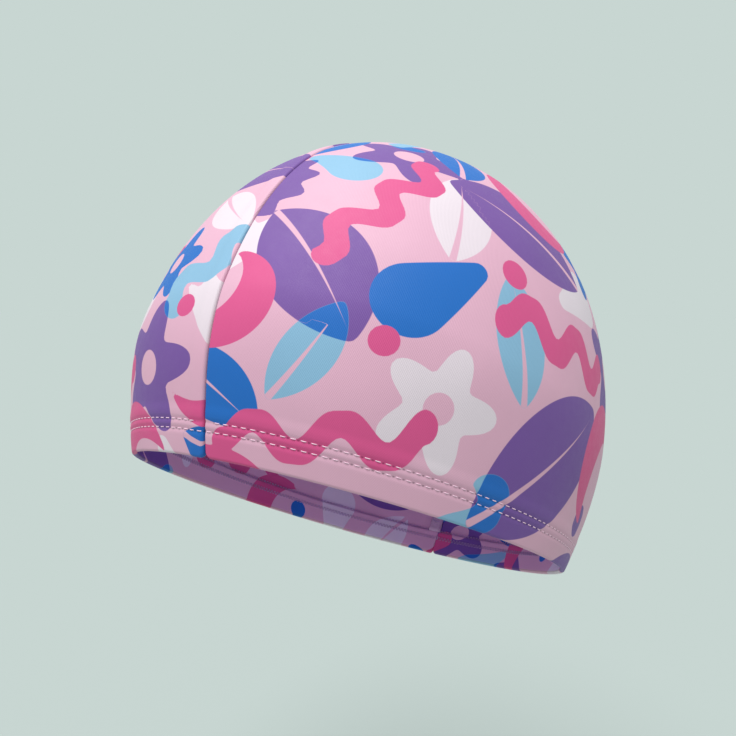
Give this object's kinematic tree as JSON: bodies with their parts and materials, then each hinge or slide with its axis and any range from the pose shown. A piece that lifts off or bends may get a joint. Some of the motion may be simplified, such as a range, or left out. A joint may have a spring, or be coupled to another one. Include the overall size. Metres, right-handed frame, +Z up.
{
  "type": "swim cap",
  "caption": "Close-fitting stretch-cloth swim cap: a left and a right panel meet in a seam over the crown, with a turned-in, double-stitched hem round the open rim.",
  "frame": {"origin": "where the top of an upright head bears on the inside of the crown, at the centre seam", "axes": "+Z up on an upright head, -Y towards the forehead, +X to the wearer's left; the rim's plane slopes down to the nape"},
  "size_m": [0.162, 0.1993, 0.1831],
  "materials": {
    "cap_cloth": "satin stretch knit, printed all over in pink, magenta, purple, blue and white",
    "hem_cloth": "the same printed knit, turned in",
    "seam_cloth": "overlocked cut edges of the same knit"
  },
  "bodies": {
    "root": {"panel_left": "cap_cloth", "panel_right": "cap_cloth", "hem_left": "hem_cloth", "hem_right": "hem_cloth", "seam_allowance": "seam_cloth"}
  },
  "joints": []
}
